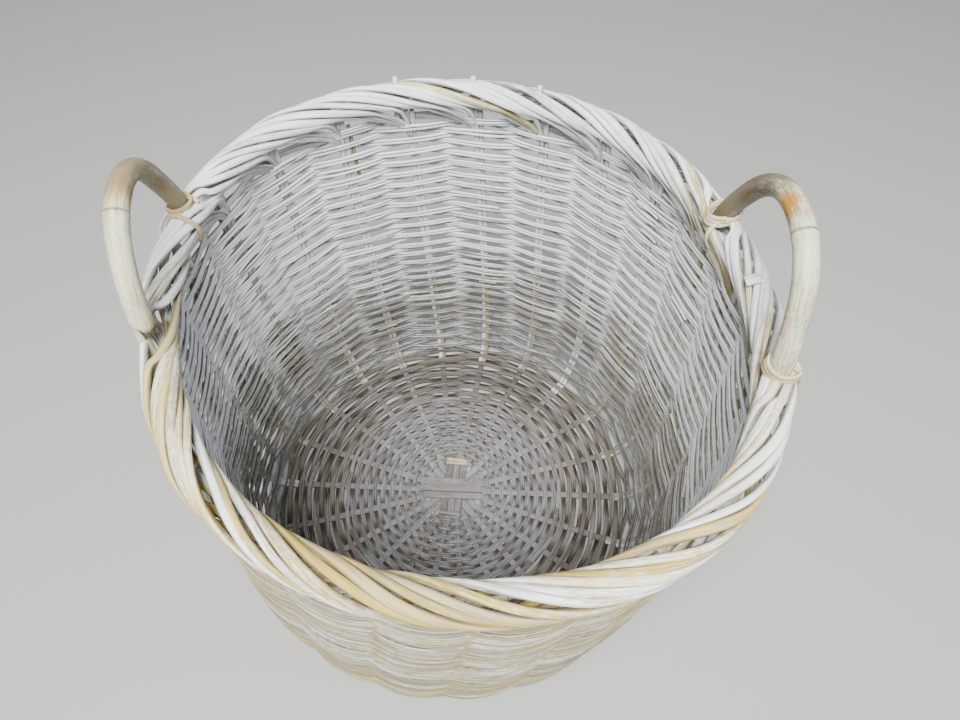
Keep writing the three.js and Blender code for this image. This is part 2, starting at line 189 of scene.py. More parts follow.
# Handles. A leg is its azimuth in degrees, how far out it stands, and how far out its foot is bent.
# Places along a pole are shares of its length from the front: its joint ring, where it turns grimy, and
# its warm patch (place, length, strength all round, and further strength on the inner side).
POLE_RADIUS = 9.8
POLE_SAMPLES = 240
ARCH_BASE = 470
POLE_END_LEVEL = 497
ARCH_POWER = 2.2
FOOT_BEND_START = 532
FOOT_BEND_END = 575
HANDLES = {
    "right": {
        "seed": 600, "rise": 151.5, "lean": 10.8, "skew": -0.04,
        "legs": [(-22.2, -6.0, 2.2), (18.7, 6.0, -4.9)],
        "ring": 0.435, "grimy": (0.52, 0.66), "patch": (0.515, 0.035, 0.25, 0.75),
    },
    "left": {
        "seed": 601, "rise": 147.5, "lean": 0.0, "skew": 0.09,
        "legs": [(196.0, 4.4, 0.0), (161.3, 11.5, -7.1)],
        "ring": 0.41, "grimy": (0.42, 0.50), "patch": (0.45, 0.03, 0.12, 0.0),
    },
}

# One pole's end is broken: its inner side is missing below the scarf, where fibres stick out.
SCARFED_END = ("left", "front")
SCARF_LEVEL = 540
SCARF_BLEND = 2.0
SCARF_DEPTH = 0.42
SCARF_GAP = 2.0
FRAYED_FIBRES = 34

# Lashings: cane wound round a pole's foot, and loops over the border beside it. Start and end are degrees
# round the roll, and shift is along the border.
LASHINGS = {
    ("right", "front"): {
        "seed": 700,
        "tie": {"inner": 12.5, "outer": 15.5, "half_width": 12.6, "level": 534, "slope": -0.2, "turns": 2.6},
        "loops": [
            {"start": 62, "end": 240, "distance": 20.4, "shift": 9},
            {"start": 55, "end": 225, "distance": 20.8, "shift": 2.5},
        ],
    },
    ("right", "back"): {
        "seed": 701,
        "tie": {"inner": 20, "outer": 12.8, "half_width": 12.6, "level": 533.5, "slope": 0.16, "turns": 2.3},
        "loops": [{"start": -40, "end": 100, "distance": 20.4, "shift": -12}],
    },
    ("left", "back"): {
        "seed": 703,
        "tie": {"inner": 12.5, "outer": 13, "half_width": 12.3, "level": 532, "slope": -0.08, "turns": 1.6},
        "loops": [
            {"start": -50, "end": 110, "distance": 20.4, "shift": 15},
            {"start": 50, "end": 210, "distance": 20.4, "shift": -12},
        ],
    },
}

# Cane's noises: how they run along a cane, across it and from cane to cane.
FIBRE_STRETCH = (0.03, 1.1, 3.0)
BLOTCH_STRETCH = (0.035, 0.12, 5.0)
FLAKE_STRETCH = (0.16, 0.5, 9.0)
PATCH_SCALE = 22.0
BUMP_DISTANCE = 0.0006

# Stage, in metres: floor, lights and camera.
STAGE_HALF_SIZE = 6.0
STAGE_DROP = 0.0005
STAGE_COLOUR = (0.37, 0.37, 0.366, 1)
LIGHTS = {
    "key_panel": {
        "place": (-0.15, -1.1, 2.8), "aim": (0, 0.05, 0.25),
        "size": 1.4, "power": 255, "tint": (1.0, 0.99, 0.965),
    },
    "side_panel": {
        "place": (2.6, -0.6, 2.2), "aim": (0, 0, 0.3),
        "size": 1.6, "power": 22, "tint": (0.95, 0.97, 1.0),
    },
}
SKY_COLOUR = (0.86, 0.90, 0.95, 1)
SKY_STRENGTH = 0.30
CAMERA_PLACE = (0.042, -0.402, 1.0)
CAMERA_TILT = math.radians(33)
CAMERA_LENS = 25.1
CAMERA_SENSOR = 36


def unit(vectors):
    return vectors / np.linalg.norm(vectors, axis=-1, keepdims=True)


def smoothstep(low, high, value):
    part = np.clip((value - low) / (high - low), 0, 1)
    return part * part * (3 - 2 * part)


def powered(value, power):
    """The value's size raised to the power, with its sign kept; powers below 1 square a circle off."""
    return np.sign(value) * np.abs(value) ** power


def bump(value, place, width):
    """A smooth bump of height 1 round a place."""
    return np.exp(-(((value - place) / width) ** 2))


def radial(angle):
    """Level directions that point away from the basket's axis."""
    angle = np.asarray(angle, float)
    return np.stack([np.cos(angle), np.sin(angle), np.zeros_like(angle)], -1)


def whole_turn(samples):
    return np.linspace(0, 2 * math.pi, samples, endpoint=False)


def wall_radius(z):
    down = np.clip((BELLY_HEIGHT - z) / BELLY_HEIGHT, 0, None)
    up = np.clip((z - BELLY_HEIGHT) / (RIM_LEVEL - BELLY_HEIGHT), 0, None)
    return BELLY_RADIUS - (BELLY_RADIUS - FOOT_RADIUS) * down**3 - (BELLY_RADIUS - RIM_RADIUS) * up**2


def wall_point(angle, z, outwards=0.0):
    """Points of the wall's middle surface, or so far outwards from it."""
    angle, z, outwards = np.broadcast_arrays(angle, z, outwards)
    oval = OVALITY * np.cos(2 * (angle - OVAL_ANGLE))
    out_of_round = oval + SQUARENESS * np.cos(4 * (angle - CORNER_ANGLE))
    level = np.clip(z / RIM_LEVEL, 0, 1) ** OUT_OF_ROUND_POWER
    radius = wall_radius(z) * (1 + out_of_round * level) + outwards
    around = np.stack([radius * np.cos(angle), radius * np.sin(angle), z], -1)
    return around + LEAN * (z / RIM_LEVEL)[..., None]


def rim_azimuth(points):
    """The angle of each point round the border's own middle."""
    middle = LEAN * BORDER_HEIGHT / RIM_LEVEL
    return np.arctan2(points[..., 1] - middle[1], points[..., 0] - middle[0])


def stake_angle(index, z):
    return FIRST_SPOKE_ANGLE + index * STAKE_PITCH + STAKE_TWIST * z / RIM_LEVEL


def spoke_angle(index):
    return FIRST_SPOKE_ANGLE + index * STAKE_PITCH


def border_point(angle, turn, distance):
    """Points round the border's roll: turn 0 is inwards, a quarter turn is up."""
    points = wall_point(angle, float(BORDER_HEIGHT), BORDER_OUTSET - distance * np.cos(turn))
    points[..., 2] = BORDER_HEIGHT + distance * np.sin(turn)
    return points


def course_edge(number):
    return COURSE_BOTTOM + (COURSE_TOP - COURSE_BOTTOM) * (number / COURSE_COUNT) ** COURSE_POWER


def ring_wander(angle, rng, amplitude, waves):
    """A smooth random wave round the basket that meets itself."""
    total = np.zeros_like(angle)
    for wave in waves:
        total += rng.normal() * np.sin(wave * angle + rng.uniform(0, 2 * math.pi))
    return amplitude * total / math.sqrt(len(waves))


def line_wander(count, rng, amplitude, waves=2.0):
    """A smooth random wave along an open cane."""
    part = np.linspace(0, 1, count)
    total = np.zeros(count)
    for step in range(1, 4):
        total += rng.normal() / step * np.sin(waves * step * part * math.pi + rng.uniform(0, 2 * math.pi))
    return amplitude * total


def smoothed(values, window):
    """The values averaged along a cane by a window of odd length."""
    padded = np.pad(values, len(window) // 2, mode="edge")
    return np.convolve(padded, window / window.sum(), "valid")


def spline(points, count):
    """Evenly spaced points on a smooth curve through the given ones."""
    points = np.asarray(points, float)
    padded = np.vstack([2 * points[0] - points[1], points, 2 * points[-1] - points[-2]])
    t = np.linspace(0, 1, SPLINE_STEPS, endpoint=False)[:, None]
    dense = []
    for i in range(len(points) - 1):
        a, b, c, d = padded[i : i + 4]
        square, cube = 2 * a - 5 * b + 4 * c - d, 3 * b - a - 3 * c + d
        dense.append(0.5 * (2 * b + (c - a) * t + square * t**2 + cube * t**3))
    dense = np.vstack([*dense, points[-1:]])
    reach = np.concatenate([[0], np.cumsum(np.linalg.norm(np.diff(dense, axis=0), axis=1))])
    at = np.linspace(0, reach[-1], count)
    return np.stack([np.interp(at, reach, dense[:, axis]) for axis in range(3)], -1)


def ends_added(values, factor):
    """The values, with each end one repeated and made smaller by the factor."""
    return np.concatenate([values[:1] * factor, values, values[-1:] * factor])


class Canes:
    """Swept canes gathered into one mesh, with data for the material at every point."""

    def __init__(self, seed, variety=0.1, crease=0.3, crease_shade_above=1.0):
        """The crease arguments set the painted shade along the canes' edges: how dark it is, and the upper
        edges' share of that.
        """
        self.rng = np.random.default_rng(SEED * 1000 + seed)
        self.variety, self.crease, self.crease_shade_above = variety, crease, crease_shade_above
        self.points, self.tones, self.grains = [], [], []
        self.loops, self.sizes = [], []
        self.count = 0

    def add(
        self, path, across, half_width, half_thickness, finish, closed=False, sides=8, square=1.0, crease=None
    ):
        """Sweeps one cane along a path.

        half_width lies along across, and half_thickness at right angles to it. square below 1 flattens the
        section's faces. finish gives whitewash, warmth, and grime with any painted shade, from points and the
        directions they face.
        """
        n = len(path)
        along = unit(np.roll(path, -1, 0) - np.roll(path, 1, 0) if closed else np.gradient(path, axis=0))
        through = unit(np.cross(along, np.broadcast_to(across, path.shape)))
        across = np.cross(through, along)
        half_width = np.broadcast_to(half_width, n).astype(float)
        half_thickness = np.broadcast_to(half_thickness, n).astype(float)
        reach = np.concatenate([[0], np.cumsum(np.linalg.norm(np.diff(path, axis=0), axis=1))])
        if not closed:
            nudge = END_LENGTH * half_thickness[[0, -1]]
            path = np.vstack([path[:1] - along[:1] * nudge[0], path, path[-1:] + along[-1:] * nudge[1]])
            across, through = ends_added(across, 1), ends_added(through, 1)
            half_width = ends_added(half_width, END_WIDTH)
            half_thickness = ends_added(half_thickness, END_THICKNESS)
            reach = ends_added(reach, 1)
            n += 2
        turn = (np.arange(sides) + 0.5) * 2 * math.pi / sides
        cos, sin = np.cos(turn), np.sin(turn)
        wide = half_width[:, None] * powered(cos, square)
        deep = half_thickness[:, None] * powered(sin, square)
        points = path[:, None] + across[:, None] * wide[..., None] + through[:, None] * deep[..., None]
        facing = across[:, None] * cos[None, :, None] + through[:, None] * sin[None, :, None]
        points, facing = points.reshape(-1, 3), facing.reshape(-1, 3)
        # Painted shade along the cane's edges, where it meets its neighbours; it goes into the grime share of
        # the tone.
        edge_shade = np.abs(cos) ** EDGE_SHADE_SHARPNESS * np.where(cos > 0, self.crease_shade_above, 1.0)
        edge_shade = np.tile((self.crease if crease is None else crease) * edge_shade, n)
        self.add_tone(finish(points, facing), edge_shade)
        self.add_grain(reach, sides, float(half_width.max()) * 4)
        self.add_faces(n, sides, closed)
        self.points.append(points)
        self.count += len(points)

    def add_tone(self, finish, edge_shade):
        """A random number for the cane, then whitewash, warmth and grime at every point, with the painted
        edge shade added to the grime.
        """
        tone = np.ones((len(finish), 4))
        tone[:, 0] = self.rng.uniform()
        tone[:, 1:] = finish
        tone[:, 1:3] += self.rng.normal(size=2) * self.variety
        tone[:, 3] += edge_shade
        self.tones.append(np.clip(tone, 0, 1))

    def add_grain(self, reach, sides, width):
        """Where each point is for the noises: along the cane, across it, and a number for the cane."""
        identity = self.rng.uniform(0, 50)
        along = np.repeat(reach + self.rng.uniform(0, 900), sides)
        across = np.tile(np.abs(np.linspace(-1, 1, sides)) * width, len(reach))
        self.grains.append(np.stack([along, across, np.full(len(along), identity)], -1))

    def add_faces(self, n, sides, closed):
        """Four-sided faces between n rings of points, and a cap on each end of an open cane."""
        rows = np.arange(n if closed else n - 1)[:, None]
        ring, next_ring = rows * sides, ((rows + 1) % n) * sides
        side = np.arange(sides)[None]
        next_side = (side + 1) % sides
        corners = [ring + side, next_ring + side, next_ring + next_side, ring + next_side]
        quads = np.stack(corners, -1).reshape(-1, 4) + self.count
        self.loops.append(quads.ravel())
        self.sizes.append(np.full(len(quads), 4))
        if not closed:
            first = self.count + np.arange(sides)
            last = self.count + (n - 1) * sides + np.arange(sides)[::-1]
            self.loops += [first, last]
            self.sizes += [np.array([sides]), np.array([sides])]

    def build(self, name, material, node):
        """Makes the piece that stands for one CAD node."""
        mesh = bpy.data.meshes.new(name)
        points = np.concatenate(self.points) * MM
        loops = np.concatenate(self.loops)
        sizes = np.concatenate(self.sizes)
        mesh.vertices.add(len(points))
        mesh.vertices.foreach_set("co", points.ravel())
        mesh.loops.add(len(loops))
        mesh.loops.foreach_set("vertex_index", loops.astype(np.int32))
        mesh.polygons.add(len(sizes))
        starts = np.concatenate([[0], np.cumsum(sizes)[:-1]])
        mesh.polygons.foreach_set("loop_start", starts.astype(np.int32))
        mesh.update(calc_edges=True)
        mesh.polygons.foreach_set("use_smooth", sizes == 4)
        tone = mesh.attributes.new("tone", "FLOAT_COLOR", "POINT")
        tone.data.foreach_set("color", np.concatenate(self.tones).ravel())
        grain = mesh.attributes.new("grain", "FLOAT_VECTOR", "POINT")
        grain.data.foreach_set("vector", np.concatenate(self.grains).ravel())
        mesh.materials.append(material)
        piece = bpy.data.objects.new(name, mesh)
        bpy.context.collection.objects.link(piece)
        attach(piece, "root")
        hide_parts(node)


def linear(colour):
    """An opaque linear colour from display values that run from 11 to 255."""
    return tuple(((value / 255 + 0.055) / 1.055) ** 2.4 for value in colour) + (1,)


class Graph:
    """A material's node tree, built by short calls."""

    def __init__(self, name):
        self.material = bpy.data.materials.new(name)
        self.material.use_nodes = True
        self.tree = self.material.node_tree
        self.tree.nodes.clear()

    def node(self, kind, inputs, **settings):
        made = self.tree.nodes.new(kind)
        for key, value in settings.items():
            setattr(made, key, value)
        for key, value in inputs.items():
            if isinstance(value, bpy.types.NodeSocket):
                self.tree.links.new(value, made.inputs[key])
            else:
                made.inputs[key].default_value = value
        return made

    def maths(self, operation, a, b, clamp=False):
        return self.node("ShaderNodeMath", {0: a, 1: b}, operation=operation, use_clamp=clamp).outputs[0]

    def ramp(self, value, low, high, to_low=0.0, to_high=1.0):
        inputs = {"Value": value, "From Min": low, "From Max": high, "To Min": to_low, "To Max": to_high}
        return self.node("ShaderNodeMapRange", inputs, interpolation_type="SMOOTHSTEP").outputs["Result"]

    def mix(self, factor, a, b, blend="MIX"):
        """Mixes colours: these are the Mix node's sockets for its factor, its two colours and its result."""
        inputs = {0: factor, 6: a, 7: b}
        return self.node("ShaderNodeMix", inputs, data_type="RGBA", blend_type=blend).outputs[2]

    def times(self, shade, amount):
        """A colour multiplied by a number."""
        grey = self.node("ShaderNodeCombineColor", {0: amount, 1: amount, 2: amount}).outputs[0]
        return self.mix(1.0, shade, grey, "MULTIPLY")

    def noise(self, vector, scale, detail, rough):
        inputs = {"Vector": vector, "Scale": scale, "Detail": detail, "Roughness": rough}
        return self.node("ShaderNodeTexNoise", inputs).outputs["Fac"]

    def stretched_noise(self, vector, factors, detail, rough):
        stretch = self.node("ShaderNodeVectorMath", {0: vector, 1: factors}, operation="MULTIPLY")
        return self.noise(stretch.outputs[0], 1.0, detail, rough)


def cane_material(
    name, bare, warm, wash, grime_and_shade, spot, fibre_depth=0.3, roughness=(0.55, 0.85), relief=0.5
):
    """Cane: tone holds a random number, whitewash, warmth, and grime with painted shade; grain runs along and
    across it.
    """
    g = Graph(name)
    bare, warm, wash, grime_and_shade, spot = (linear(colour) for colour in (bare, warm, wash, grime_and_shade, spot))
    tone = g.node("ShaderNodeAttribute", {}, attribute_name="tone")
    grain = g.node("ShaderNodeAttribute", {}, attribute_name="grain").outputs["Vector"]
    place = g.node("ShaderNodeTexCoord", {}).outputs["Object"]
    chance, washed, warmth = g.node("ShaderNodeSeparateColor", {"Color": tone.outputs["Color"]}).outputs
    dirt_and_shade = tone.outputs["Alpha"]
    fibres = g.stretched_noise(grain, FIBRE_STRETCH, 4.0, 0.6)
    blotch = g.stretched_noise(grain, BLOTCH_STRETCH, 3.0, 0.6)
    patch = g.noise(place, PATCH_SCALE, 4.0, 0.65)
    flake = g.stretched_noise(grain, FLAKE_STRETCH, 4.0, 0.65)

    warmed = g.maths("ADD", warmth, g.ramp(blotch, 0.25, 0.75, -0.3, 0.3), clamp=True)
    shade = g.mix(warmed, bare, warm)
    shade = g.times(shade, g.ramp(chance, 0.0, 1.0, 0.72, 1.14))
    spotted = g.maths("MULTIPLY", g.ramp(flake, 0.56, 0.72), g.maths("MULTIPLY", warmth, 0.75))
    shade = g.mix(spotted, shade, spot)

    cover = g.maths("ADD", g.maths("MULTIPLY", washed, 1.25), g.ramp(patch, 0.3, 0.7, -0.16, 0.12))
    cover = g.maths("ADD", cover, g.ramp(flake, 0.3, 0.7, -0.22, 0.12))
    cover = g.maths("ADD", cover, g.ramp(fibres, 0.3, 0.7, -0.12, 0.08))
    shade = g.mix(g.ramp(cover, 0.15, 0.85, 0.0, 0.95), shade, wash)
    shade = g.times(shade, g.ramp(fibres, 0.3, 0.62, 1.0 - fibre_depth, 1.0))
    # Grime and the painted shade of creases and hollows both darken the cane towards the grime colour.
    soiled_and_shaded = g.maths("MULTIPLY", dirt_and_shade, g.ramp(blotch, 0.25, 0.7, 0.55, 1.0), clamp=True)
    shade = g.mix(soiled_and_shaded, shade, grime_and_shade)

    height = g.maths("ADD", g.maths("MULTIPLY", fibres, 0.7), g.maths("MULTIPLY", flake, 0.3))
    raised = g.node("ShaderNodeBump", {"Strength": relief, "Distance": BUMP_DISTANCE, "Height": height})
    rough = g.ramp(flake, 0.3, 0.7, roughness[1], roughness[0])
    shader = g.node(
        "ShaderNodeBsdfPrincipled",
        {"Base Color": shade, "Roughness": rough, "Normal": raised.outputs[0], "Specular IOR Level": 0.35},
    )
    g.node("ShaderNodeOutputMaterial", {"Surface": shader.outputs[0]})
    return g.material


def towards(points, degrees):
    """1 for points on that side of the basket's axis, and -1 for points on the other side."""
    return np.cos(np.arctan2(points[:, 1], points[:, 0]) - math.radians(degrees))


def outwardness(points, facing):
    """1 where a surface faces away from the basket's axis, and -1 where it faces the axis."""
    return np.einsum("ij,ij->i", facing, radial(np.arctan2(points[:, 1], points[:, 0])))


def even_finish(wash, warm, grime_and_shade):
    """The same whitewash, warmth and grime all over."""

    def finish(points, facing):
        return np.tile([wash, warm, grime_and_shade], (len(points), 1))

    return finish


insert_finish = even_finish(0.36, 0.14, 0.38)
frayed_finish = even_finish(0.22, 0.12, 0.45)
lashing_finish = even_finish(0.40, 0.6, 0.02)


def wall_finish(points, facing):
    """The wall is white inside and cream outside, and inside its lower part is grey and darker: partly
    soiling, partly painted shade deep in the basket.
    """
    z = points[:, 2]
    outside = smoothstep(-0.35, 0.35, outwardness(points, facing))
    high = smoothstep(60, 340, z)
    right = smoothstep(-0.1, 0.9, towards(points, -5))
    near = smoothstep(-0.3, 0.8, towards(points, -90))
    foot = smoothstep(8, 30, z)
    # Inside, the lower wall is less whitewashed and darker: partly soiling, partly painted shade deep in the
    # basket.
    inner_wash = 0.28 + 0.56 * high - 0.06 * right
    inner_warm = 0.46 * right * high - 0.05
    inner_grime_and_shade = 0.03 + 0.34 * (1 - smoothstep(10, 210, z))
    outer_wash = 0.22 - 0.06 * near
    outer_warm = (0.40 + 0.22 * near) * foot
    outer_grime = 0.20 + 0.10 * (1 - smoothstep(10, 80, z))
    pairs = ((inner_wash, outer_wash), (inner_warm, outer_warm), (inner_grime_and_shade, outer_grime))
    return np.stack([inner + (outer - inner) * outside for inner, outer in pairs], -1)


def border_finish(points, facing):
    """The border's near side is bare and yellow, and its back is whitewashed."""
    near = smoothstep(-0.75, 0.75, towards(points, -92))
    inside = smoothstep(0.2, 0.9, -outwardness(points, facing))
    wash = 0.90 - 0.52 * near
    warm = 0.20 + 0.60 * near - 0.2 * inside
    grime_and_shade = 0.03 + 0.10 * inside * near
    return np.stack([wash, warm, grime_and_shade], -1)


def floor_finish(points, facing):
    """Grey in the middle, brown towards the wall, and painted shade where a cane dips under the spokes."""
    radius = np.hypot(points[:, 0], points[:, 1])
    rim = smoothstep(100, 225, radius)
    far = smoothstep(30, 200, points[:, 1])
    # Painted shade on the upper faces of a cane where it dips under the spokes.
    deep = 1 - smoothstep(SPOKE_LEVEL - 3, SPOKE_LEVEL + 1.5, points[:, 2])
    deep *= smoothstep(-0.5, 0.2, facing[:, 2])
    wash = 0.52 - 0.22 * rim - 0.2 * deep
    warm = 0.30 * rim
    grime_and_shade = 0.03 + 0.22 * rim + 0.22 * far + 0.85 * deep
    return np.stack([wash, warm, grime_and_shade], -1)


def slat_finish(points, facing):
    """Slats are grey, and a little browner and dirtier towards the wall and the back."""
    radius = np.hypot(points[:, 0], points[:, 1])
    rim = smoothstep(150, 235, radius)
    far = smoothstep(30, 200, points[:, 1])
    return np.stack([0.50 - 0.14 * rim, 0.06 + 0.14 * rim, 0.08 + 0.2 * rim + 0.15 * far], -1)


def pole_finish(handle, part):
    """A pole is grimy towards its back leg, with a warm patch, and a dark line behind its joint ring."""
    h = HANDLES[handle]
    place, length, all_round, further = h["patch"]

    def finish(points, facing):
        where = np.repeat(np.concatenate([[0], part, [1]]), len(points) // (len(part) + 2))
        line = bump(where, h["ring"] + 0.003, 0.0038)
        inside = smoothstep(-0.2, 0.8, -outwardness(points, facing))
        back = smoothstep(*h["grimy"], where)
        patch = bump(where, place, length) * (all_round + further * inside)
        wash = 0.58 - 0.34 * back - 0.40 * patch
        warm = 0.22 + 0.75 * patch - 0.16 * back
        grime_and_shade = 0.06 + 0.36 * back * (1 - 0.5 * patch) + line
        return np.stack([wash, warm, grime_and_shade], -1)

    return finish


def row_levels():
    """Heights of the wall's rows; those half way up are a little further apart."""
    level = np.linspace(FIRST_ROW, LAST_ROW, ROW_COUNT)
    spacing = 1 + ROW_LOOSENESS * bump(level, ROW_LOOSE_LEVEL, ROW_LOOSE_SPREAD)
    steps = (spacing[1:] + spacing[:-1]) / 2
    levels = np.concatenate([[0], np.cumsum(steps)])
    return FIRST_ROW + (LAST_ROW - FIRST_ROW) * levels / levels[-1]


class WallDrift:
    """A slow rise and fall of the rows, shared by neighbouring rows."""

    def __init__(self):
        rng = np.random.default_rng(DRIFT_SEED)
        self.waves = [
            (wave, rng.normal(), rng.uniform(*ANY_PHASE), rng.uniform(-1, 1) * DRIFT_SLOPE)
            for wave in DRIFT_WAVES
        ]

    def __call__(self, angle, z):
        waves = (size * np.sin(wave * angle + phase + slope * z) for wave, size, phase, slope in self.waves)
        return sum(waves) * smoothstep(0, 60, z) * (1 - smoothstep(430, STAKE_TOP, z))


def add_row(canes, row, level, drift):
    """One row of the wall: canes one above the other, which swing round the stakes together."""
    rng = canes.rng
    angle = whole_turn(STAKE_COUNT * ROW_SAMPLES)
    number = 3 if rng.uniform() < THIRD_CANE_CHANCE else 2
    radius = CANE_RADIUS if number == 2 else CANE_RADIUS * THIRD_CANE_SIZE
    z_row = level + drift(angle, level) + ring_wander(angle, rng, *ROW_WANDER)
    phase = math.pi * (angle - stake_angle(0, z_row)) / STAKE_PITCH + math.pi * row
    swing = (np.cos(phase) + SWING_POINT * np.cos(3 * phase)) / (1 + SWING_POINT)
    for cane in range(number):
        size = radius * rng.uniform(*CANE_SIZES)
        offset = (cane - (number - 1) / 2) * radius * CANE_SPACING
        thickness = size * (1 + CANE_SWELL * np.sin(angle * rng.integers(2, 7) + rng.uniform(*ANY_PHASE)))
        own = ring_wander(angle, rng, *CANE_WANDER)
        depth = ring_wander(angle, rng, *DEPTH_WANDER) + rng.normal() * 0.15
        z = np.maximum(z_row + offset + own, LOWEST_CANE)
        path = wall_point(angle, z, swing * (ROW_SWING + 0.3 * rng.normal()) + depth)
        flat = thickness * CANE_FLATNESS
        canes.add(path, UP, thickness, flat, wall_finish, closed=True, sides=12, square=0.82)


def add_cut_end(canes, level):
    """A cane's end that sticks out of the inside of the wall, next to a stake."""
    rng = canes.rng
    stake = rng.integers(STAKE_COUNT)
    part = np.linspace(0, 1, 14)
    away = rng.choice([-1, 1])
    angle = stake_angle(stake, level) + away * STAKE_PITCH * (0.05 + rng.uniform(0.3, 0.55) * (part - 0.5))
    z = level + 4.8 * rng.choice([-1, 1]) + 3 * (part - 0.5)
    outwards = -ROW_SWING - 2.5 * part + rng.uniform(-0.5, 0.5)
    radius = CANE_RADIUS * rng.uniform(0.75, 0.95)
    canes.add(wall_point(angle, z, outwards), UP, radius, radius, wall_finish)


def build_wall(material):
    """The rows of the wall, gathered by the CAD's courses."""
    levels = row_levels()
    drift = WallDrift()
    for course in range(COURSE_COUNT):
        low = course_edge(course) if course else -math.inf
        high = course_edge(course + 1) if course < COURSE_COUNT - 1 else math.inf
        canes = Canes(WALL_SEED + course, variety=0.14, crease=1.15, crease_shade_above=0.75)
        for row, level in enumerate(levels):
            if low <= level < high:
                add_row(canes, row, level, drift)
                if row >= FIRST_CUT_ROW and canes.rng.uniform() < CUT_END_CHANCE:
                    add_cut_end(canes, level)
        name = f"{course + 1:02d}"
        canes.build(f"wall_weave_{name}", material, f"wall_course_{name}")


def add_upright(canes, index, side):
    """One cane of an upright pair, from the floor up into the border."""
    rng = canes.rng
    count = 90
    feet = [radial(spoke_angle(index)) * r + UP * SPOKE_LEVEL for r in STAKE_FOOT_RADII]
    levels = np.concatenate([STAKE_FOOT_LEVELS, np.linspace(*STAKE_LEVELS)])
    wall = [wall_point(stake_angle(index, z), z) for z in levels]
    path = spline([*feet, *wall], count)
    out = unit(path * [1, 1, 0])
    sideways = np.cross(UP, out)
    path = path + sideways * (side * STAKE_CANE_RADIUS * 0.95)
    path = path + sideways * line_wander(count, rng, 0.35, 5.0)[:, None]
    radius = STAKE_CANE_RADIUS * rng.uniform(0.94, 1.04)
    flat = radius * STAKE_CANE_FLATNESS
    canes.add(path, sideways, radius, flat, wall_finish, sides=10, square=0.85, crease=0.18)


def pole_line(handle, part):
    """Points of a handle's centre line: part runs from 0 at the front tip to 1 at the back one."""
    h = HANDLES[handle]
    part = np.asarray(part, float)
    ends = [wall_point(math.radians(angle), float(RIM_LEVEL), offset) for angle, offset, _ in h["legs"]]
    for end in ends:
        end[2] = ARCH_BASE
    middle = (ends[0] + ends[1]) / 2
    half = (ends[1] - ends[0]) / 2
    away = middle * np.array([1, 1, 0])
    crown = np.array([0, 0, h["rise"]]) + unit(away) * h["lean"] + half * h["skew"]
    tip = math.asin(((POLE_END_LEVEL - ARCH_BASE) / h["rise"]) ** (ARCH_POWER / 2))
    angle = tip + (math.pi - 2 * tip) * part
    across = -powered(np.cos(angle), 2 / ARCH_POWER)
    up = np.sin(angle) ** (2 / ARCH_POWER)
    line = middle + half * across[..., None] + crown * up[..., None]
    bent = 1 - smoothstep(FOOT_BEND_START, FOOT_BEND_END, line[..., 2])
    front, back = (radial(math.radians(angle)) * shift for angle, _, shift in h["legs"])
    return line + np.where((part < 0.5)[..., None], front, back) * bent[..., None]


def pole_feet():
    """Where the poles stand in the border, the direction in which each rises, and any gap beside it."""
    feet = []
    for handle in HANDLES:
        for end, tip, inner in (("front", 0.0, 0.06), ("back", 1.0, 0.94)):
            start = pole_line(handle, tip)
            gap = SCARF_GAP if (handle, end) == SCARFED_END else 0
            feet.append((start, unit(pole_line(handle, inner) - start), gap))
    return feet


def around_poles(path, clearance):
    """Parts the border for the poles: a strand that meets one bows to the side on which more of it lies."""
    moved = path.copy()
    for foot, rise, gap in pole_feet():
        wanted = POLE_RADIUS + clearance + gap
        outwards = radial(rim_azimuth(foot))
        sideways = np.cross(UP, outwards)
        from_foot = moved - foot
        height = from_foot @ rise
        off = from_foot - height[:, None] * rise
        out, side = off @ outwards, off @ sideways
        edges = [wanted + edge for edge in PARTING_EDGES]
        near = smoothstep(*PARTING_DEPTHS, height) * (1 - smoothstep(*edges, np.abs(out)))
        weight = near * (np.abs(side) < PARTING_REACH)
        if weight.sum() < 0.5:
            continue
        way = 1.0 if (side * weight).sum() > 0 else -1.0
        beside = np.clip(np.abs(out) - STRAND_HALF_THICKNESS, 0, None)
        needed = np.sqrt(np.clip(wanted**2 - beside**2, 0, None))
        push = np.clip(needed - side * way, 0, 2 * wanted) * weight
        padded = np.pad(push, PARTING_SPREAD, mode="edge")
        spread = [padded[step : step + len(push)] for step in range(2 * PARTING_SPREAD + 1)]
        push = smoothed(np.max(spread, axis=0), np.hanning(PARTING_BLUR)[1:-1])
        moved = moved + sideways * (push * way)[:, None]
    return moved


